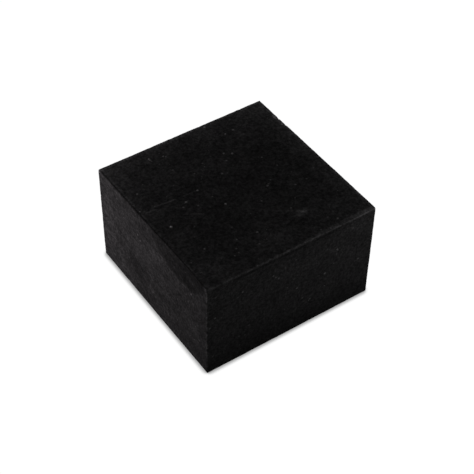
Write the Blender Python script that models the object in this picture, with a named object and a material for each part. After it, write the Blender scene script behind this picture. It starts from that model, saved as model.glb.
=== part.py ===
"""Jumbo compressed-charcoal drawing block, modelled as the single pressed solid that it is.

Frame: origin at the centre of the underside, +Z up, -Y the front side, -X the left side.
Charcoal powder and binder are pressed and cut into a square block whose edges are lightly broken.
Handling and drawing have rubbed a long shallow hollow into the left side below its top edge, worn the front
side's top edge to a narrow flat that widens to the right, and taken small flakes off the corner
between them and off the right side's top edge. There is no core, sleeve, coating or moving piece.
"""

import bmesh
import bpy
from mathutils import Vector

MM = 0.001

# The pressed block, over everything.
SIDE = 63.5 * MM
HEIGHT = 38.5 * MM
HALF = SIDE / 2

# Its edges, broken all round when it was cut.
EDGE_BREAK = 0.3 * MM
EDGE_BREAK_SEGMENTS = 2

# The hollow rubbed into the left side, up to its top edge: a shallow bite of one large ball
# that is stretched along the edge.
HOLLOW_BALL_RADIUS = 150 * MM
HOLLOW_BALL_STRETCH = 1.5
HOLLOW_DROP = 9.5 * MM
HOLLOW_RECESS = 0.4 * MM
HOLLOW_MIDDLE_FROM_FRONT = 15.5 * MM
HOLLOW_SEGMENTS = 256

# The flat worn on the front side's top edge: nothing at its start, widest at the right corner.
FLAT_START_FROM_RIGHT = 36 * MM
FLAT_DROP_AT_RIGHT = 0.45 * MM
FLAT_DEPTH_AT_RIGHT = 1.3 * MM

# The flake off the front left top corner, as the length lost along each edge.
CORNER_LOSS_FRONT_EDGE = 1.1 * MM
CORNER_LOSS_LEFT_EDGE = 1.5 * MM
CORNER_LOSS_UPRIGHT_EDGE = 1.1 * MM

# Flakes off the right side's top edge: (distance from the back, length along the edge, depth).
RIGHT_FLAKES = (
    (11.4 * MM, 2.4 * MM, 0.35 * MM),
    (15.2 * MM, 1.8 * MM, 0.30 * MM),
)
FLAKE_ROUNDNESS = 0.6
FLAKE_SEGMENTS = 24
FLAKE_RINGS = 14

CHARCOAL_COLOUR = (0.013, 0.0123, 0.0127, 1.0)
CHARCOAL_ROUGHNESS = 0.9


def clear_scene():
    for obj in list(bpy.data.objects):
        bpy.data.objects.remove(obj)


def charcoal_material():
    material = bpy.data.materials.new("compressed_charcoal")
    material.use_nodes = True
    shader = material.node_tree.nodes["Principled BSDF"]
    shader.inputs["Base Color"].default_value = CHARCOAL_COLOUR
    shader.inputs["Roughness"].default_value = CHARCOAL_ROUGHNESS
    shader.inputs["Metallic"].default_value = 0.0
    return material


def add_object(name, fill):
    """An object whose mesh is what fill(bm) puts into an empty bmesh."""
    bm = bmesh.new()
    fill(bm)
    mesh = bpy.data.meshes.new(name)
    bm.to_mesh(mesh)
    bm.free()
    obj = bpy.data.objects.new(name, mesh)
    bpy.context.scene.collection.objects.link(obj)
    return obj


def add_cutter(name, fill, centre):
    cutter = add_object(name, fill)
    cutter.location = centre
    cutter.hide_render = True
    cutter.display_type = "WIRE"
    return cutter


def ball_cutter(name, centre, radius, segments, rings, stretch=(1, 1, 1)):
    """A ball, stretched along the axes, that bites into the block."""

    def fill(bm):
        bmesh.ops.create_uvsphere(bm, u_segments=segments, v_segments=rings, radius=radius)
        bmesh.ops.scale(bm, vec=Vector(stretch), verts=bm.verts)

    return add_cutter(name, fill, centre)


def slab_cutter(name, points, outward):
    """A slab that takes away everything outside the plane through three points."""
    first, second, third = points
    normal = (second - first).cross(third - first).normalized()
    if normal.dot(outward) < 0:
        normal.negate()

    def fill(bm):
        bmesh.ops.create_cube(bm, size=1.0)
        bmesh.ops.scale(bm, vec=Vector((4 * SIDE, 4 * SIDE, HEIGHT)), verts=bm.verts)

    slab = add_cutter(name, fill, first + normal * (HEIGHT / 2))
    slab.rotation_mode = "QUATERNION"
    slab.rotation_quaternion = normal.to_track_quat("Z", "X")
    return slab


def hollow_cutter():
    """The ball passes HOLLOW_DROP below the top on the left side, HOLLOW_RECESS in on the top."""
    low = Vector((-HALF, 0, HEIGHT - HOLLOW_DROP))
    high = Vector((-HALF + HOLLOW_RECESS, 0, HEIGHT))
    chord = high - low
    away = Vector((-chord.z, 0, chord.x)).normalized()
    rise = (HOLLOW_BALL_RADIUS**2 - (chord.length / 2) ** 2) ** 0.5
    centre = (low + high) / 2 + away * rise
    centre.y = -HALF + HOLLOW_MIDDLE_FROM_FRONT
    stretch = (1, HOLLOW_BALL_STRETCH, 1)
    rings = HOLLOW_SEGMENTS // 2
    return ball_cutter("hollow_cutter", centre, HOLLOW_BALL_RADIUS, HOLLOW_SEGMENTS, rings, stretch)


def flat_cutter():
    start = Vector((HALF - FLAT_START_FROM_RIGHT, -HALF, HEIGHT))
    below = Vector((HALF, -HALF, HEIGHT - FLAT_DROP_AT_RIGHT))
    behind = Vector((HALF, -HALF + FLAT_DEPTH_AT_RIGHT, HEIGHT))
    return slab_cutter("worn_flat_cutter", (start, below, behind), Vector((0, -1, 1)))


def corner_cutter():
    corner = Vector((-HALF, -HALF, HEIGHT))
    along_front = corner + Vector((CORNER_LOSS_FRONT_EDGE, 0, 0))
    along_left = corner + Vector((0, CORNER_LOSS_LEFT_EDGE, 0))
    along_upright = corner - Vector((0, 0, CORNER_LOSS_UPRIGHT_EDGE))
    return slab_cutter("corner_flake_cutter", (along_front, along_left, along_upright), Vector((-1, -1, 1)))


def right_flake_cutter(number, from_back, length, depth):
    """A small ball, stretched along the edge, that sinks depth below the broken edge."""
    outward = Vector((1, 0, 1)).normalized()
    radius = length * FLAKE_ROUNDNESS
    # The broken edge's middle lies EDGE_BREAK * (sqrt(2) - 1) inside the sharp one.
    bite = depth + EDGE_BREAK * (2**0.5 - 1)
    half_opening = (radius**2 - (radius - bite) ** 2) ** 0.5
    edge_point = Vector((HALF, HALF - from_back, HEIGHT))
    centre = edge_point + outward * (radius - bite)
    stretch = (1, length / 2 / half_opening, 1)
    return ball_cutter(f"right_flake_cutter_{number}", centre, radius, FLAKE_SEGMENTS, FLAKE_RINGS, stretch)


def cut(block, cutter):
    modifier = block.modifiers.new(cutter.name, "BOOLEAN")
    modifier.operation = "DIFFERENCE"
    modifier.solver = "EXACT"
    modifier.object = cutter


def sharp_block(bm):
    """The block before its edges are broken, standing on z = 0."""
    bmesh.ops.create_cube(bm, size=1.0)
    bmesh.ops.scale(bm, vec=Vector((SIDE, SIDE, HEIGHT)), verts=bm.verts)
    bmesh.ops.translate(bm, vec=Vector((0, 0, HEIGHT / 2)), verts=bm.verts)


def charcoal_block():
    block = add_object("charcoal_block", sharp_block)
    block.data.materials.append(charcoal_material())
    broken = block.modifiers.new("broken_edges", "BEVEL")
    broken.width = EDGE_BREAK
    broken.segments = EDGE_BREAK_SEGMENTS
    cut(block, hollow_cutter())
    cut(block, flat_cutter())
    cut(block, corner_cutter())
    for number, (from_back, length, depth) in enumerate(RIGHT_FLAKES, start=1):
        cut(block, right_flake_cutter(number, from_back, length, depth))
    return block


def main():
    clear_scene()
    charcoal_block()


main()
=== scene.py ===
"""Looks for the jumbo compressed-charcoal block: one dense sculpted solid on a plain white floor.

Lengths here are millimetres until a mesh, light or camera is made. The block stands on z = 0 with
its centre on the Z axis; -Y is its front, -X its left. Every point of a fine grid on the plain box
sinks inwards until it meets the worn shape, so the mesh stays one closed surface.
"""

import math

import bpy
import numpy as np
from mathutils import Matrix, Vector


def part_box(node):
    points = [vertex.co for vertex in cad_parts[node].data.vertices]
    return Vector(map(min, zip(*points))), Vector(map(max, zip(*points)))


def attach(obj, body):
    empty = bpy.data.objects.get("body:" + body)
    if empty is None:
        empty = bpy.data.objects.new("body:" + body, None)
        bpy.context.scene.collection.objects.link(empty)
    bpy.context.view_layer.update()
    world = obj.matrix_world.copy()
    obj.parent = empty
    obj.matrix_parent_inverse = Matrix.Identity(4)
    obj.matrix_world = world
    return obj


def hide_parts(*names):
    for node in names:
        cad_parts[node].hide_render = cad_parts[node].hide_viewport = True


MM = 0.001
NODE = "charcoal_block"

# The mesh: the spacing of its first grid, and how many triangles are left once it is thinned.
GRID = 0.2
TRIANGLES = 190_000

# The worn shape: how deep a point may sink, in how many steps, and how softly its surfaces meet.
REACH = 3.0
TRACE_STEPS = 12
BLEND = 0.1
HOLLOW_BLEND = 0.3

# How far the faces, edges and corners are rubbed back on average.
FACE_LOSS = 0.035
EDGE_LOSS = 0.09
CORNER_LOSS = 0.05

# The hollow in the left side: a bite of one large ball that is stretched along the edge.
HOLLOW_RADIUS = 150.0
HOLLOW_STRETCH = 1.5
HOLLOW_DROP = 9.5
HOLLOW_RECESS = 0.4
HOLLOW_MIDDLE_FROM_FRONT = 15.5

# The lip worn on the front side's top edge: it widens from its start to its full size.
LIP_START_FROM_RIGHT = 34.0
LIP_FULL_FROM_RIGHT = 14.0
LIP_LEAST = 0.25
LIP_DROP = 0.34
LIP_DEPTH = 1.25

# Small random nicks along all twelve edges.
NICK_SPACING = 7.0
NICK_RADII = (0.35, 0.8)
NICK_DEPTHS = (0.1, 0.24)

ROOT_2 = math.sqrt(2)

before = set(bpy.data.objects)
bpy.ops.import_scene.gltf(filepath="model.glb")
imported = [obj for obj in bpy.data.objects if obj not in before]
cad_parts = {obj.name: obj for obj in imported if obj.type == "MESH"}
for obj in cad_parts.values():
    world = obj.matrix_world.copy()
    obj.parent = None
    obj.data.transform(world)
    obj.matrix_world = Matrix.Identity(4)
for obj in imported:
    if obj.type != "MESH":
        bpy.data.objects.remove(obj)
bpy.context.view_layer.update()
block_low, block_high = (np.array(corner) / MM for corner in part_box(NODE))
HALF = (block_high - block_low) / 2
MIDDLE = (block_high + block_low) / 2
TOP = block_high[2]
LEFT = block_low[0]
RIGHT = block_high[0]
FRONT = block_low[1]
BACK = block_high[1]


# ---------------------------------------------------------------- noise and blending


def fade(x):
    """0 to 1 with no kink at either end."""
    return x * x * x * (x * (x * 6 - 15) + 10)


def noise(points, cell, seed):
    """Smooth random values from -1 to 1 that change over about one cell, at each point."""
    cell = np.asarray(cell, float)
    local = (points - block_low) / cell + 1
    counts = np.ceil((block_high - block_low) / cell).astype(int) + 4
    lattice = np.random.default_rng(seed).uniform(-1, 1, counts)
    base = np.clip(np.floor(local).astype(int), 0, counts - 2)
    part = fade(np.clip(local - base, 0, 1))
    total = np.zeros(len(points))
    for corner in np.ndindex(2, 2, 2):
        weight = np.prod(np.where(corner, part, 1 - part), axis=1)
        x, y, z = (base + corner).T
        total += weight * lattice[x, y, z]
    return total


def smooth_max(a, b, blend):
    """The larger of a and b, rounded where they are within the blend of each other."""
    near = np.maximum(blend - np.abs(a - b), 0) / blend
    return np.maximum(a, b) + near * near * blend / 4


def step(x, start, end):
    """0 up to the start, rising smoothly to 1 at the end."""
    x = np.clip((x - start) / (end - start), 0.0, 1.0)
    return x * x * (3 - 2 * x)


def fall(x, start, end):
    """1 up to the start, falling smoothly to 0 at the end."""
    return 1 - step(x, start, end)


# ---------------------------------------------------------------- the worn shape


def hollow_centre():
    """The large ball passes HOLLOW_DROP below the top on the left side, HOLLOW_RECESS in on the top."""
    low = np.array([LEFT, TOP - HOLLOW_DROP])
    high = np.array([LEFT + HOLLOW_RECESS, TOP])
    chord = high - low
    length = np.hypot(*chord)
    away = np.array([-chord[1], chord[0]]) / length
    x, z = (low + high) / 2 + away * math.sqrt(HOLLOW_RADIUS**2 - (length / 2) ** 2)
    return np.array([x, FRONT + HOLLOW_MIDDLE_FROM_FRONT, z])


def outside_hollow(points):
    """How far the points lie outside the large ball, which is stretched along the edge."""
    return np.linalg.norm((points - hollow_centre()) / (1, HOLLOW_STRETCH, 1), axis=1) - HOLLOW_RADIUS


# The larger flakes: place, outward direction, radius and depth.
FLAKES = (
    ((RIGHT, BACK - 11.4, TOP), (1, 0.1, 1), 1.5, 0.38),
    ((RIGHT, BACK - 15.2, TOP), (1, -0.1, 1), 1.2, 0.33),
    ((LEFT, FRONT, TOP), (-1, -1, 1), 2.0, 0.55),
)


def make_flakes():
    """Small balls that bite flakes and nicks off the edges: arrays of centres and radii."""
    random = np.random.default_rng(7)
    centres, radii = [], []

    def bite(point, outward, radius, depth):
        outward = np.array(outward, float)
        outward /= np.linalg.norm(outward)
        centres.append(np.array(point, float) + outward * (radius - depth))
        radii.append(radius)

    for flake in FLAKES:
        bite(*flake)
    # The nicks: on each of the four edges along each axis, each leaning its own way off the edge.
    for axis in range(3):
        across = [(axis + 1) % 3, (axis + 2) % 3]
        for side_a in (-1, 1):
            for side_b in (-1, 1):
                length = 2 * HALF[axis]
                for _ in range(int(length / NICK_SPACING)):
                    point = np.array(MIDDLE)
                    point[axis] += random.uniform(-0.5, 0.5) * length
                    point[across[0]] += side_a * HALF[across[0]]
                    point[across[1]] += side_b * HALF[across[1]]
                    outward = random.uniform(-0.25, 0.25, 3)
                    outward[across[0]] = side_a * random.uniform(0.6, 1.4)
                    outward[across[1]] = side_b * random.uniform(0.6, 1.4)
                    radius = random.uniform(*NICK_RADII)
                    bite(point, outward, radius, random.uniform(*NICK_DEPTHS))
    return np.array(centres), np.array(radii)


def edge_loss(points):
    """How far the edges are rubbed back, square to each edge."""
    return EDGE_LOSS + 0.02 * noise(points, 7, 4) + 0.03 * noise(points, 1.6, 5)


def outside_lip(points, rough):
    """The worn lip slopes down to the front side's top edge, and widens towards the right corner."""
    x, y, z = points.T
    # The rough variation also makes the lip's start ragged.
    along = step(x + 12 * rough, RIGHT - LIP_START_FROM_RIGHT, RIGHT - LIP_FULL_FROM_RIGHT)
    size = LIP_LEAST + (1 - LIP_LEAST) * along
    drop = LIP_DROP * size
    depth = LIP_DEPTH * size
    plane = (z - TOP) * depth + (FRONT - y) * drop + depth * drop
    # Before its start the lip is moved out of reach.
    return plane / np.hypot(depth, drop) - 0.5 * fall(along, 0.0, 0.1) + rough


# Fine scratches: start, end, half width, depth and how pale, all on one face each.
SCRATCHES = (
    ((-26.2, 7.0, TOP), (-18.0, 6.2, TOP), 0.28, 0.05, 1.9),
    ((-18.0, 6.2, TOP), (-10.6, 5.8, TOP), 0.24, 0.03, 0.9),
    ((-20.05, -0.75, TOP), (-13.85, -4.55, TOP), 0.24, 0.03, 0.7),
    ((-30.0, 6.0, TOP), (-26.0, 6.0, TOP), 0.28, 0.03, 0.9),
    ((2.0, 22.0, TOP), (12.5, 24.5, TOP), 0.22, 0.02, 0.4),
    ((3.4, -14.6, TOP), (6.4, -16.5, TOP), 0.26, 0.02, 0.9),
    ((6.9, -17.0, TOP), (9.6, -18.6, TOP), 0.28, 0.02, 1.2),
    ((9.9, -19.1, TOP), (12.9, -21.2, TOP), 0.5, 0.03, 1.1),
    ((8.0, -20.6, TOP), (13.2, -22.0, TOP), 0.22, 0.03, 0.6),
    ((19.9, FRONT, 35.9), (23.4, FRONT, 34.2), 0.22, 0.04, 0.8),
    ((22.4, FRONT, 34.6), (26.3, FRONT, 32.5), 0.22, 0.04, 0.6),
    ((2.0, FRONT, 9.5), (13.0, FRONT, 14.5), 0.24, 0.03, 0.5),
    ((13.0, FRONT, 30.5), (17.0, FRONT, 27.0), 0.24, 0.03, 0.5),
    ((LEFT, 27.0, 30.0), (LEFT, 21.0, 17.0), 0.30, 0.03, 0.3),
    ((LEFT, 17.5, 33.0), (LEFT, 12.5, 21.0), 0.25, 0.03, 0.25),
    ((LEFT, -3.0, 24.0), (LEFT, -9.5, 19.5), 0.25, 0.03, 0.25),
    ((RIGHT, -20.0, 28.0), (RIGHT, -7.0, 31.5), 0.28, 0.04, 1.3),
    ((RIGHT, -12.0, 26.5), (RIGHT, -4.0, 28.0), 0.22, 0.03, 0.7),
    ((RIGHT, 9.0, 14.0), (RIGHT, 21.0, 10.5), 0.24, 0.03, 1.0),
    ((-22.0, BACK, 25.0), (-10.5, BACK, 29.0), 0.28, 0.04, 1.3),
    ((-9.0, BACK, 30.5), (-2.0, BACK, 31.5), 0.22, 0.03, 0.7),
    ((6.0, BACK, 16.0), (15.0, BACK, 12.0), 0.24, 0.03, 1.0),
)


def across_scratch(points, start, end, half_width):
    """1 along the middle of a scratch, fading to 0 at its sides and soft at its ends."""
    start, end = np.array(start), np.array(end)
    along = end - start
    length = np.linalg.norm(along)
    along /= length
    reach = (points - start) @ along
    off = np.linalg.norm(points - start - np.clip(reach, 0, length)[:, None] * along, axis=1)
    ends = step(reach, -0.1, 0.6) * fall(reach, length - 0.6, length + 0.1)
    return np.exp(-((off / half_width) ** 2)) * ends


class WornShape:
    """How far outside the worn block a point is, in mm; less than nothing inside."""

    def __init__(self, start):
        # The rough variations are read once, where each point starts on the plain box.
        self.face_loss = FACE_LOSS + 0.015 * noise(start, 9, 1) + 0.012 * noise(start, 1.1, 2)
        self.face_loss += 0.01 * noise(start, 0.5, 3)
        # Nothing is rubbed off next to the underside, so the block stands flat.
        self.face_loss *= step(start[:, 2], 0.0, 0.6)
        for begin, end, half_width, depth, _ in SCRATCHES:
            self.face_loss += depth * across_scratch(start, begin, end, half_width)
        self.edge_loss = edge_loss(start) + 0.02 * noise(start, 0.7, 6)
        self.corner_loss = CORNER_LOSS + 0.04 * noise(start, 3, 8)
        self.lip_rough = 0.03 * noise(start, 4, 13) + 0.02 * noise(start, 0.9, 14)
        self.break_up = 0.05 * noise(start, 0.8, 9) + 0.03 * noise(start, 0.45, 10)
        self.hollow_rough = 0.06 * noise(start, 6, 11) + 0.03 * noise(start, (1.3, 9.0, 0.9), 12)
        self.flakes = []
        for centre, radius in zip(*make_flakes()):
            near = np.flatnonzero(np.linalg.norm(start - centre, axis=1) < radius + REACH)
            self.flakes.append((centre, radius, near))

    def outside(self, points):
        """The sides, edges, corners, lip, hollow and flakes together; the underside is left flat."""
        depth = np.abs(points - MIDDLE) - HALF + self.face_loss[:, None]
        depth[:, 2] = np.where(points[:, 2] > MIDDLE[2], depth[:, 2], -points[:, 2])
        out = depth.max(axis=1)
        for a, b in ((0, 1), (1, 2), (2, 0)):
            bevel = (depth[:, a] + depth[:, b]) / ROOT_2 + self.edge_loss
            out = smooth_max(out, bevel, BLEND)
        corner = depth.sum(axis=1) / math.sqrt(3) + self.corner_loss
        out = smooth_max(out, corner, BLEND)
        out = smooth_max(out, outside_lip(points, self.lip_rough), BLEND)
        out = smooth_max(out, self.hollow_rough - outside_hollow(points), HOLLOW_BLEND)
        for centre, radius, near in self.flakes:
            bite = radius - np.linalg.norm(points[near] - centre, axis=1) + self.break_up[near]
            out[near] = smooth_max(out[near], bite, BLEND / 2)
        return out


def box_grid():
    """Points and quads of an even grid over the whole plain box, each shared point made once."""
    counts = np.round(2 * HALF / GRID).astype(int)
    # A point's key is x + 1000 y + 1000000 z, in whole cells.
    stride = np.array([1, 1000, 1_000_000])
    sides = []
    for axis in range(3):
        u, v = (axis + 1) % 3, (axis + 2) % 3
        first, second = np.meshgrid(np.arange(counts[u]), np.arange(counts[v]), indexing="ij")
        for end in (0, counts[axis]):
            turn = ((0, 0), (1, 0), (1, 1), (0, 1))
            corners = [
                (first + du) * stride[u] + (second + dv) * stride[v] + end * stride[axis]
                for du, dv in (turn if end else turn[::-1])
            ]
            sides.append(np.stack([c.ravel() for c in corners], axis=1))
    keys, quads = np.unique(np.concatenate(sides), return_inverse=True)
    index = keys[:, None] // stride % 1000
    points = block_low + (block_high - block_low) * index / counts
    return points, quads.reshape(-1, 4)


def sink(points):
    """Moves each point of the plain box inwards until it meets the worn shape."""
    shape = WornShape(points)
    anchor = np.clip(points, block_low + REACH, block_high - REACH)
    inward = anchor - points
    inward /= np.linalg.norm(inward, axis=1)[:, None]
    travel = np.zeros(len(points))
    for _ in range(TRACE_STEPS):
        travel += shape.outside(points + inward * travel[:, None])
        travel = np.clip(travel, 0, REACH)
    return points + inward * travel[:, None], inward


# Crumbs stuck on the top and the front side: place, radius and how pale.
TOP_CRUMBS = (
    (-26.15, -3.45, 0.42, 8.5), (-6.55, -4.25, 0.42, 7.0), (-16.35, 3.25, 0.42, 5.0),
    (-17.1, 3.0, 0.28, 2.5), (-14.05, -0.25, 0.32, 4.0), (-10.45, 5.75, 0.38, 6.0),
    (-15.45, 26.95, 0.36, 4.0), (9.25, -4.65, 0.42, 5.0), (10.0, -4.2, 0.28, 3.0),
    (6.25, 15.75, 0.38, 4.5), (8.55, 14.25, 0.34, 4.0), (15.55, 7.35, 0.34, 4.0),
    (21.55, -8.95, 0.32, 3.5), (13.25, -14.05, 0.30, 3.0), (8.25, 30.25, 0.38, 4.5),
    (-22.75, -17.05, 0.34, 3.5), (-14.75, -22.25, 0.30, 3.0), (-12.35, -19.05, 0.30, 3.0),
    (-15.45, 26.25, 0.34, 3.5), (-15.3, 25.5, 0.28, 2.5), (-14.0, 22.9, 0.32, 3.0),
    (-10.9, 25.5, 0.34, 3.0), (-10.3, 24.9, 0.28, 2.0), (-30.5, 7.6, 0.34, 3.0),
    (30.7, 17.2, 0.42, 4.0), (30.7, 22.4, 0.40, 3.5), (30.7, 21.6, 0.42, 4.5), (30.7, 20.8, 0.38, 3.5),
)
FRONT_CRUMBS = (
    (12.95, 19.5, 0.42, 4.0), (-18.85, 30.2, 0.36, 3.0), (-7.45, 30.5, 0.32, 2.5),
    (-6.4, 29.2, 0.28, 2.5), (-5.25, 28.1, 0.32, 2.5), (17.25, 28.1, 0.36, 3.0),
    (26.55, 18.5, 0.34, 3.0),
)
RANDOM_CRUMBS = 260
RANDOM_CRUMB_RADII = (0.2, 0.42)
RANDOM_CRUMB_TINTS = (0.6, 3.2)
CRUMBS_FROM_EDGES = 0.8
# Every crumb's height as a share of its radius, and what its radius and tint are multiplied by.
CRUMB_HEIGHT = 0.45
CRUMB_SPREAD = 1.2
CRUMB_PALENESS = 1.2


def make_crumbs():
    """Rows of x, y, z, radius and paleness."""
    random = np.random.default_rng(21)
    rows = [(x, y, TOP, radius, pale) for x, y, radius, pale in TOP_CRUMBS]
    rows += [(x, FRONT, z, radius, pale) for x, z, radius, pale in FRONT_CRUMBS]
    for _ in range(RANDOM_CRUMBS):
        place = random.uniform(block_low + CRUMBS_FROM_EDGES, block_high - CRUMBS_FROM_EDGES)
        side = random.choice([0, 0, 1, 1, 2])
        # None below the underside, which rests on the floor.
        place[side] = TOP if side == 2 else random.choice([block_low[side], block_high[side]])
        smallest, largest = RANDOM_CRUMB_RADII
        radius = smallest + (largest - smallest) * random.random() ** 2
        rows.append((*place, radius, random.uniform(*RANDOM_CRUMB_TINTS)))
    return np.array(rows)


def grow_crumbs(points, outward):
    """Raises the crumbs; also returns how pale each point is made by them."""
    pale = np.zeros(len(points))
    height = np.zeros(len(points))
    for x, y, z, radius, tint in make_crumbs():
        radius *= CRUMB_SPREAD
        near = np.flatnonzero(np.abs(points - (x, y, z)).max(axis=1) < radius)
        part = np.linalg.norm(points[near] - (x, y, z), axis=1) / radius
        round_top = np.clip(1 - part * part, 0, 1)
        height[near] = np.maximum(height[near], CRUMB_HEIGHT * radius * round_top)
        pale[near] = np.maximum(pale[near], CRUMB_PALENESS * tint * round_top)
    return points + outward * height[:, None], pale


def mesh_from(name, points, quads):
    """A mesh in metres from points in millimetres."""
    mesh = bpy.data.meshes.new(name)
    mesh.vertices.add(len(points))
    mesh.vertices.foreach_set("co", (points * MM).astype(np.float32).ravel())
    mesh.loops.add(quads.size)
    mesh.loops.foreach_set("vertex_index", quads.astype(np.int32).ravel())
    mesh.polygons.add(len(quads))
    mesh.polygons.foreach_set("loop_start", np.arange(0, quads.size, 4, dtype=np.int32))
    mesh.update(calc_edges=True)
    mesh.validate()
    return mesh


def thin_out(obj):
    """Leaves few triangles where the object's mesh is plain and all of them where it is worn."""
    thin = obj.modifiers.new("thin", "DECIMATE")
    triangles = 2 * len(obj.data.polygons)
    thin.ratio = min(1.0, TRIANGLES / triangles)
    graph = bpy.context.evaluated_depsgraph_get()
    mesh = bpy.data.meshes.new_from_object(obj.evaluated_get(graph), depsgraph=graph)
    obj.modifiers.remove(thin)
    old = obj.data
    obj.data = mesh
    bpy.data.meshes.remove(old)


def positions(mesh):
    """The mesh's points, in millimetres."""
    flat = np.empty(len(mesh.vertices) * 3, np.float32)
    mesh.vertices.foreach_get("co", flat)
    return flat.reshape(-1, 3).astype(float) / MM


def store(mesh, name, values):
    """Gives the mesh one value at each point, for the material to read."""
    layer = mesh.attributes.new(name, "FLOAT", "POINT")
    layer.data.foreach_set("value", np.ascontiguousarray(values, np.float32))


# Paler and darker patches on each side: centre, size and strength. FAR takes one right across.
FAR = 200.0
TOP_PATCHES = (
    # The first four make the top paler towards its borders, most at the back and right.
    ((0, BACK + 1), (FAR, 5), 0.40),
    ((0, BACK + 1), (FAR, 18), 0.55),
    ((RIGHT + 1, 8), (7, 34), 0.85),
    ((LEFT - 1, 0), (7, FAR), 0.38),
    ((-2.75, -24.95), (7, 4), 0.30),
    ((-25.05, -25.75), (5, 5), 0.25),
    ((-16.35, -25.75), (1.6, 1.3), -0.30),
    ((13.25, -9.05), (1.5, 1.2), -0.30),
    ((10.75, -20.75), (2.8, 1.3), 0.9),
    ((5.5, -16.5), (2.5, 0.9), 0.20),
)
LEFT_PATCHES = (
    ((10.0, 13.0), (4.8, 5.0), -0.33),
    ((6.5, 9.0), (3.2, 3.4), -0.26),
    ((13.05, 20.8), (0.9, 7.0), -0.25),
    ((-2.2, 28.0), (2.4, 2.2), 0.32),
    ((-5.0, 25.0), (2.6, 3.0), 0.15),
    ((7.5, 27.0), (2.6, 2.2), 0.18),
    ((-9.0, 15.0), (3.0, 6.0), 0.10),
    ((25.0, 19.0), (6.5, 13.0), 0.22),
    # These two darken the left side towards its foot: painted shade next to the floor.
    ((-14.0, 4.0), (9.0, 5.0), -0.12),
    ((4.0, 2.0), (6.0, 5.0), -0.20),
)
FRONT_PATCHES = (
    ((9.25, 36.0), (4, 1.5), -0.25),
    # These two darken the front side towards its foot: painted shade next to the floor.
    ((0, 0), (FAR, 9), -0.42),
    ((-4, 0), (19, 9), -0.20),
    ((-28, 33), (7, 7), 0.18),
    ((30, 8), (6, 10), 0.18),
    ((23.0, 34.2), (4.5, 1.6), 0.30),
)
# How far a patch reaches square to its side.
PATCH_REACH = 9.0


def blob(points, centre, size, seed):
    """1 in the middle of a ragged patch, falling to 0 beyond its size along each axis."""
    wobble = np.stack([noise(points, 2.5, seed + i) for i in range(3)], axis=1)
    part = (points + 0.9 * wobble - centre) / size
    return np.exp(-(part * part).sum(axis=1))


def on_side(points, axis, value):
    """1 on the side of the block at that value of the axis, 0 a little way in."""
    return fall(np.abs(points[:, axis] - value), 0.3, 0.9)


def side_tones(points):
    """Broad light and dark: the top paler towards its borders, most at the back and right; painted shade
    low on the front and left sides; clouds and smudges on the sides.
    """
    top = on_side(points, 2, TOP)
    left = on_side(points, 0, LEFT) * (1 - top)
    front = on_side(points, 1, FRONT) * (1 - top)
    tone = np.ones(len(points))
    for centre, size, strength in TOP_PATCHES:
        tone *= 1 + strength * top * blob(points, (*centre, TOP), (*size, PATCH_REACH), 31)
    for centre, size, strength in LEFT_PATCHES:
        tone *= 1 + strength * left * blob(points, (LEFT, *centre), (PATCH_REACH, *size), 41)
    for (cx, cz), (sx, sz), strength in FRONT_PATCHES:
        tone *= 1 + strength * front * blob(points, (cx, FRONT, cz), (sx, PATCH_REACH, sz), 51)
    return tone


# How much paler each line makes the charcoal, where 1 doubles it. The far rim is painted highlight; the
# ridge, lip and front line are dust with painted highlight; the rest are dust.
FAR_RIM_HIGHLIGHT = 0.85
RIDGE_DUST_AND_HIGHLIGHT = 1.0
UNDER_HOLLOW_DUST = 0.35
LIP_DUST_AND_HIGHLIGHT = 1.0
UPRIGHT_DUST = 0.3
UPRIGHT_DUST_NEAR_TOP = 1.6
LEFT_LINE_DUST = 0.3
FRONT_LINE_DUST_AND_HIGHLIGHT = 0.8
CHIP_DUST = 0.8

# How much darker each of these places makes it, where 1 is black.
LEFT_EDGE_DARK = 0.45
BELOW_LINE_DARK = 0.42
HOLLOW_DARK = 0.42
HOLLOW_DARK_TO_FRONT = 0.16
HOLLOW_DARK_TO_TOP = 0.08


def close_to(distance):
    """1 where a side is close by, 0 where it is not."""
    return fall(distance, 0.8, 1.2)


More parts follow.
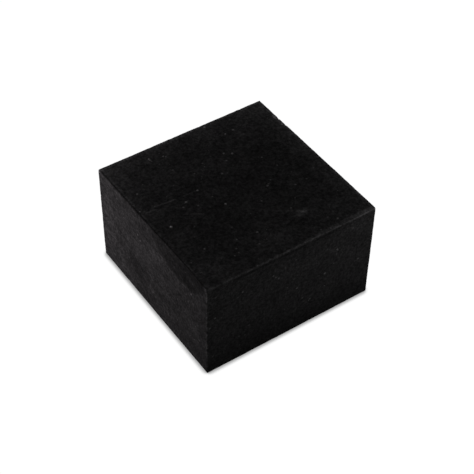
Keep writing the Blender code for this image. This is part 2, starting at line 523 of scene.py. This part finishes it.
class Surface:
    """Where the finished mesh's points lie. A mask is 1 at the place it is named for and 0 elsewhere."""

    def __init__(self, points):
        self.points = points
        x, y, z = points.T
        self.down = TOP - z
        self.on_top = close_to(self.down)
        self.at_left = close_to(x - LEFT)
        self.at_front = close_to(y - FRONT)
        self.at_back = close_to(BACK - y)
        self.at_right = close_to(RIGHT - x)
        # How far in from the three pairs of sides, nearest first.
        self.depth = np.sort(HALF - np.abs(points - MIDDLE), axis=1)
        self.in_from_edge = (self.depth[:, 0] + self.depth[:, 1]) / ROOT_2 - edge_loss(points)
        self.broken = np.clip(0.65 + 0.7 * noise(points, 1.8, 62), 0, 1)
        self.chipped = fall(np.linalg.norm(points - (LEFT, FRONT, TOP), axis=1), 1.4, 2.6)

        # How deep the hollow's ball bites at this height and place along the left side.
        on_left_plane = np.column_stack((np.full_like(x, LEFT), y, z))
        self.bitten = -outside_hollow(on_left_plane) - 0.05 * noise(points, 3, 67)
        self.hollow = fall(np.abs(outside_hollow(points)), 0.25, 0.45) * step(self.bitten, 0.0, 0.09)
        self.hollow *= fall(x, LEFT + 0.6, LEFT + 1.2) * (1 - self.chipped)

    def worn_edges_and_highlight(self):
        """Powder rubbed pale on the edges and in the flakes, with painted highlight on the top's back
        and right edges.
        """
        x, _, z = self.points.T
        front_top = self.on_top * self.at_front
        widened = 0.08 * front_top
        worn = fall(self.in_from_edge, 0.1 + widened, 0.22 + widened)
        for centre, radius in zip(*make_flakes()):
            near = np.flatnonzero(np.linalg.norm(self.points - centre, axis=1) < radius + 0.12)
            worn[near] = np.maximum(worn[near], step(self.depth[near, 0], 0.05, 0.1))
        worn *= 0.75 + 0.5 * noise(self.points, 1.4, 61)
        # Paler on the top's back and right edges: painted highlight, as if lit from behind.
        worn *= 1 + 0.5 * self.on_top * np.maximum(self.at_back, self.at_right)
        worn *= 1 - self.on_top * self.at_left
        worn *= 1 - 0.65 * front_top * step(RIGHT - x, 10, 24)
        # Less of it next to the floor, which keeps the bottom edges dark as painted contact shade, and
        # none in the hollow.
        worn *= 1 - 0.7 * fall(z, 0.8, 1.5)
        return worn * (1 - self.hollow)

    def dust_and_highlight_lines(self):
        """Dust along the rims, the ridge, the lip and the scratches, and painted highlights on the top's
        back and right rims, the ridge, the lip and the front side's top edge.
        """
        points, down, broken = self.points, self.down, self.broken
        x, y, _ = points.T
        half_broken = 0.5 + 0.5 * broken

        # Painted highlight on the top's back and right rims, as if lit from behind.
        far_rim = fall(np.minimum(RIGHT - x, BACK - y) - 0.2 * noise(points, 3, 68), 0.8, 1.4)
        pale_lines = FAR_RIM_HIGHLIGHT * far_rim * self.on_top * half_broken

        # The top's ridge beside the hollow, in two stretches: dust with a painted highlight.
        ridge = fall(np.abs(x - LEFT - 0.95 - 0.2 * noise(points, 3, 63)), 0.1, 0.4)
        ridge *= step(y, -10, -2) + step(y, -24, -22) * fall(y, -18, -16)
        pale_lines += RIDGE_DUST_AND_HIGHLIGHT * ridge * fall(down, 0.2, 0.3) * (0.4 + 0.6 * broken)

        under_hollow = fall(np.abs(self.bitten + 0.03 + 0.02 * noise(points, 4, 64)), 0.01, 0.05)
        pale_lines += UNDER_HOLLOW_DUST * under_hollow * self.at_left * (1 - self.on_top) * broken

        # The worn lip: dust with a painted highlight.
        lip = step(outside_lip(points, 0.03 * noise(points, 4, 13)), -0.12, -0.05)
        pale_lines += LIP_DUST_AND_HIGHLIGHT * lip * half_broken

        # The upright edge between the left and front sides, palest near the top.
        upright = fall(self.in_from_edge, 0.06, 0.22) * self.at_left * self.at_front
        pale_lines += (UPRIGHT_DUST + UPRIGHT_DUST_NEAR_TOP * fall(down, 3, 7)) * upright

        # A line below the left side's top edge, at its back end only.
        left_line = self.at_left * step(down, 0.3, 0.6) * fall(down, 1.3, 1.8)
        pale_lines += LEFT_LINE_DUST * left_line * step(y + noise(points, 3, 65), BACK - 16, BACK - 12)

        # A pale line along the front side's top edge: dust with a painted highlight.
        front_line = fall(y - FRONT, 0.15, 0.4) * fall(down, 0.55, 0.85)
        front_line *= 0.35 + 0.65 * step(x, LEFT + 6, LEFT + 18)
        pale_lines += FRONT_LINE_DUST_AND_HIGHLIGHT * front_line * (0.8 + 0.3 * noise(points, (2.2, 9.0, 9.0), 69))

        pale_lines += CHIP_DUST * self.chipped * broken
        for begin, end, half_width, _, pale in SCRATCHES:
            pale_lines += pale * across_scratch(points, begin, end, half_width)
        return pale_lines

    def tones(self):
        """How light each point is: 1 is plain charcoal."""
        points, down = self.points, self.down
        x, y, _ = points.T
        left_edge = fall(self.in_from_edge, 0.2, 0.45) * self.at_left * self.on_top
        below_line = self.at_front * step(down, 0.8, 1.1) * fall(down, 1.6, 2.1)
        below_line *= step(x, LEFT + 4, LEFT + 14) * step(RIGHT - x, 10, 20)
        tone = side_tones(points) * (1 - LEFT_EDGE_DARK * left_edge) * (1 - BELOW_LINE_DARK * below_line)
        # The hollow is rubbed dark, more so towards the front and the top.
        rubbed = HOLLOW_DARK + HOLLOW_DARK_TO_FRONT * fall(y, FRONT, -2)
        rubbed += HOLLOW_DARK_TO_TOP * fall(down, 0, 4)
        return tone * (1 - self.hollow * rubbed * (1 + 0.25 * noise(points, (1.2, 8.0, 0.9), 66)))


def paint(mesh):
    """Writes where the block is rubbed, dusted and smudged, and where light and shade are painted on it,
    for the material to use.
    """
    surface = Surface(positions(mesh))
    store(mesh, "worn", surface.worn_edges_and_highlight())
    store(mesh, "dust_and_highlight_line", surface.dust_and_highlight_lines())
    store(mesh, "hollow", surface.hollow)
    store(mesh, "tone", surface.tones())
    from_middle = np.abs(surface.points[:, 0] - MIDDLE[0])
    store(mesh, "side", fall(np.abs(from_middle - HALF[0]), 0.3, 1.0))


# ---------------------------------------------------------------- the material


class Nodes:
    """Short ways to add shader nodes to one tree."""

    def __init__(self, material):
        material.use_nodes = True
        self.tree = material.node_tree
        self.shader = self.tree.nodes["Principled BSDF"]

    def add(self, kind, inputs=None, **settings):
        node = self.tree.nodes.new(kind)
        for name, value in settings.items():
            setattr(node, name, value)
        for key, value in (inputs or {}).items():
            self.feed(node.inputs[key], value)
        return node

    def feed(self, socket, value):
        if isinstance(value, bpy.types.NodeSocket):
            self.tree.links.new(value, socket)
        else:
            socket.default_value = value

    def maths(self, operation, a, b, c=0.0):
        return self.add("ShaderNodeMath", {0: a, 1: b, 2: c}, operation=operation).outputs[0]

    def remap(self, value, from_low, from_high, to_low, to_high):
        inputs = {
            "Value": value,
            "From Min": from_low,
            "From Max": from_high,
            "To Min": to_low,
            "To Max": to_high,
        }
        return self.add("ShaderNodeMapRange", inputs, interpolation_type="SMOOTHSTEP").outputs[0]

    def noise(self, place, per_mm, detail, stretch=None, turn=(0, 0, 0)):
        if stretch:
            settings = {"Vector": place, "Scale": stretch, "Rotation": turn}
            place = self.add("ShaderNodeMapping", settings).outputs[0]
        inputs = {"Vector": place, "Scale": per_mm / MM, "Detail": detail}
        return self.add("ShaderNodeTexNoise", inputs).outputs["Fac"]

    def specks(self, place, per_mm, radius, share):
        """Scattered dots: brightest in the middle, and only a share of the cells has a strong one."""
        cells = self.add("ShaderNodeTexVoronoi", {"Vector": place, "Scale": per_mm / MM})
        dots = self.remap(cells.outputs["Distance"], 0.3 * radius * per_mm, radius * per_mm, 1, 0)
        pick = self.add("ShaderNodeSeparateColor", {"Color": cells.outputs["Color"]}).outputs["Red"]
        return self.maths("MULTIPLY", dots, self.remap(pick, 1 - share, 1.0, 0.15, 1.0))

    def attribute(self, name):
        return self.add("ShaderNodeAttribute", attribute_name=name).outputs["Fac"]


CHARCOAL = (0.0125, 0.0121, 0.01235)
# How far each size of mottle goes either side of the plain tone.
CLOUD_STRENGTH = 0.13
LUMP_STRENGTH = 0.15
POWDER_STRENGTH = 0.27
GRAIN_STRENGTH = 0.41
STREAK_STRENGTH = 0.22
BIG_SPECK_PALENESS = 2.6
SMALL_SPECK_PALENESS = 1.2
ROUGHNESS = 0.9
ROUGHNESS_IN_HOLLOW = 0.8
SPECULAR_LEVEL = 0.02
BUMP_HEIGHT = 0.12


def charcoal_material():
    """Matt black: mottled powder and pale specks, over what is painted on the mesh."""
    material = bpy.data.materials.new("pressed_charcoal")
    n = Nodes(material)
    place = n.add("ShaderNodeTexCoord").outputs["Object"]
    cloud = n.noise(place, 0.12, detail=1)
    lump = n.noise(place, 0.38, detail=1)
    powder = n.noise(place, 0.85, detail=0)
    grain = n.noise(place, 1.7, detail=1)
    streak = n.noise(place, 0.8, detail=1, stretch=(1.0, 0.34, 0.6), turn=(0.18, 0, 0))

    # What is painted on the mesh, times each size of mottle and the left and right sides' streaks.
    tone = n.attribute("tone")
    mottle = (
        (cloud, CLOUD_STRENGTH),
        (lump, LUMP_STRENGTH),
        (powder, POWDER_STRENGTH),
        (grain, GRAIN_STRENGTH),
    )
    for value, strength in mottle:
        tone = n.maths("MULTIPLY", tone, n.remap(value, 0.2, 0.8, 1 - strength, 1 + strength))
    streaks = n.remap(streak, 0.25, 0.75, -STREAK_STRENGTH, STREAK_STRENGTH)
    tone = n.maths("MULTIPLY", tone, n.maths("MULTIPLY_ADD", streaks, n.attribute("side"), 1.0))

    big_specks = n.specks(place, 0.45, 0.26, 0.5)
    small_specks = n.specks(place, 0.95, 0.17, 0.3)
    pale = n.maths("MULTIPLY", small_specks, SMALL_SPECK_PALENESS)
    pale = n.maths("MULTIPLY_ADD", big_specks, BIG_SPECK_PALENESS, pale)
    pale = n.maths("ADD", pale, n.attribute("crumb"))
    pale = n.maths("ADD", pale, n.attribute("dust_and_highlight_line"))
    pale = n.maths("MULTIPLY_ADD", n.attribute("worn"), n.remap(powder, 0.3, 0.7, 0.4, 1.4), pale)
    tone = n.maths("MULTIPLY", tone, n.maths("ADD", pale, 1.0))

    colour = n.add("ShaderNodeVectorMath", {0: CHARCOAL, "Scale": tone}, operation="SCALE").outputs[0]
    roughness = n.remap(n.attribute("hollow"), 0.0, 1.0, ROUGHNESS, ROUGHNESS_IN_HOLLOW)
    n.feed(n.shader.inputs["Base Color"], colour)
    n.feed(n.shader.inputs["Roughness"], roughness)
    n.feed(n.shader.inputs["Specular IOR Level"], SPECULAR_LEVEL)
    height = n.maths("MULTIPLY_ADD", grain, 0.5, n.maths("MULTIPLY", powder, 0.7))
    height = n.maths("MULTIPLY_ADD", small_specks, 0.3, height)
    bump = n.add("ShaderNodeBump", {"Strength": 1.0, "Distance": BUMP_HEIGHT * MM, "Height": height})
    n.feed(n.shader.inputs["Normal"], bump.outputs[0])
    return material


def charcoal_block():
    """Sculpts, paints and places the one piece."""
    points, quads = box_grid()
    points, inward = sink(points)
    points, pale = grow_crumbs(points, -inward)
    mesh = mesh_from("pressed_charcoal_block", points, quads)
    store(mesh, "crumb", pale)
    block = bpy.data.objects.new("pressed_charcoal_block", mesh)
    bpy.context.scene.collection.objects.link(block)
    thin_out(block)
    paint(block.data)
    block.data.shade_smooth()
    block.data.materials.append(charcoal_material())
    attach(block, "root")
    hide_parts(NODE)


# ---------------------------------------------------------------- floor, light, camera

WHITE = (1, 1, 1, 1)

FLOOR_SIDE = 12000.0
# The floor lies a hair below the block, so that the two never share a plane.
FLOOR_DROP = 0.02
CONTACT_REACH = 2.2
CONTACT_SAMPLES = 16
# How bright the floor is at the block's foot and away from it.
CONTACT_GLOW = 0.42
FLOOR_GLOW = 1.02


def emission(n, strength):
    """Makes the material glow white and do nothing else."""
    glow = n.add("ShaderNodeEmission", {"Color": WHITE, "Strength": strength})
    n.feed(n.tree.nodes["Material Output"].inputs["Surface"], glow.outputs[0])


def add_floor():
    """A plain white floor with a narrow soft shade where the block touches it."""
    half = FLOOR_SIDE / 2 * MM
    mesh = bpy.data.meshes.new("floor")
    corners = [(-half, -half, 0), (half, -half, 0), (half, half, 0), (-half, half, 0)]
    mesh.from_pydata(corners, [], [(0, 1, 2, 3)])
    floor = bpy.data.objects.new("floor", mesh)
    floor.location.z = -FLOOR_DROP * MM
    bpy.context.scene.collection.objects.link(floor)
    material = bpy.data.materials.new("white_floor")
    n = Nodes(material)
    reach = {"Distance": CONTACT_REACH * MM}
    contact = n.add("ShaderNodeAmbientOcclusion", reach, samples=CONTACT_SAMPLES)
    emission(n, n.remap(contact.outputs["AO"], 0.5, 0.95, CONTACT_GLOW, FLOOR_GLOW))
    material.cycles.emission_sampling = "NONE"
    mesh.materials.append(material)
    floor.visible_diffuse = False
    floor.visible_glossy = False
    floor.visible_shadow = False


# Square lights: name, place, aim, side, watts and colour.
SOFTBOXES = (
    ("key_softbox", (LEFT - 72, BACK + 8, 34), (LEFT, 10, 19), 60, 0.106, (1.04, 0.975, 1.01)),
    ("front_softbox", (45, FRONT - 68, 62), (10, FRONT, 25), 40, 0.028, (1, 1, 1)),
    ("fill_softbox", (330, 330, 0), (0, 0, 0), 60, 0.5, (1, 1, 1)),
)
DOME_RADIUS = 8000.0
DOME_STRENGTH = 0.25


def add_softbox(name, place, aim, side, watts, colour):
    data = bpy.data.lights.new(name, "AREA")
    data.shape = "SQUARE"
    data.size = side * MM
    data.energy = watts
    data.color = colour
    lamp = bpy.data.objects.new(name, data)
    lamp.visible_camera = False
    place, aim = Vector(place) * MM, Vector(aim) * MM
    lamp.location = place
    lamp.rotation_mode = "QUATERNION"
    lamp.rotation_quaternion = (place - aim).to_track_quat("Z", "Y")
    bpy.context.scene.collection.objects.link(lamp)


def add_dome():
    """An even soft light from all round."""
    bpy.ops.mesh.primitive_ico_sphere_add(subdivisions=3, radius=DOME_RADIUS * MM)
    dome = bpy.context.active_object
    dome.name = "light_dome"
    material = bpy.data.materials.new("dome_light")
    emission(Nodes(material), DOME_STRENGTH)
    material.cycles.emission_sampling = "NONE"
    dome.data.materials.append(material)
    dome.visible_camera = False
    dome.visible_shadow = False


def add_world():
    """White behind everything, and no light from it."""
    world = bpy.data.worlds.new("white_studio")
    world.use_nodes = True
    world.node_tree.nodes["Background"].inputs["Color"].default_value = WHITE
    world.cycles.sampling_method = "NONE"
    world.cycles_visibility.diffuse = False
    world.cycles_visibility.glossy = False
    bpy.context.scene.world = world


def add_lights():
    for softbox in SOFTBOXES:
        add_softbox(*softbox)
    add_dome()
    add_world()


CAMERA_AIM = (-0.1, -1.6, 17.9)
CAMERA_FORWARD = (0.40277, 0.57642, -0.71100)
CAMERA_DISTANCE = 415.2
CAMERA_ROLL = math.radians(0.89)
CAMERA_LENS = 96.15
CAMERA_SENSOR = 36.0


def add_camera():
    data = bpy.data.cameras.new("camera")
    data.lens = CAMERA_LENS
    data.sensor_width = CAMERA_SENSOR
    camera = bpy.data.objects.new("camera", data)
    forward = Vector(CAMERA_FORWARD).normalized()
    camera.location = Vector(CAMERA_AIM) * MM - forward * CAMERA_DISTANCE * MM
    camera.rotation_mode = "QUATERNION"
    roll = Matrix.Rotation(CAMERA_ROLL, 3, "Z").to_quaternion()
    camera.rotation_quaternion = forward.to_track_quat("-Z", "Y") @ roll
    bpy.context.scene.collection.objects.link(camera)
    bpy.context.scene.camera = camera


bpy.context.scene.view_settings.view_transform = "Standard"
add_camera()
add_floor()
add_lights()
charcoal_block()
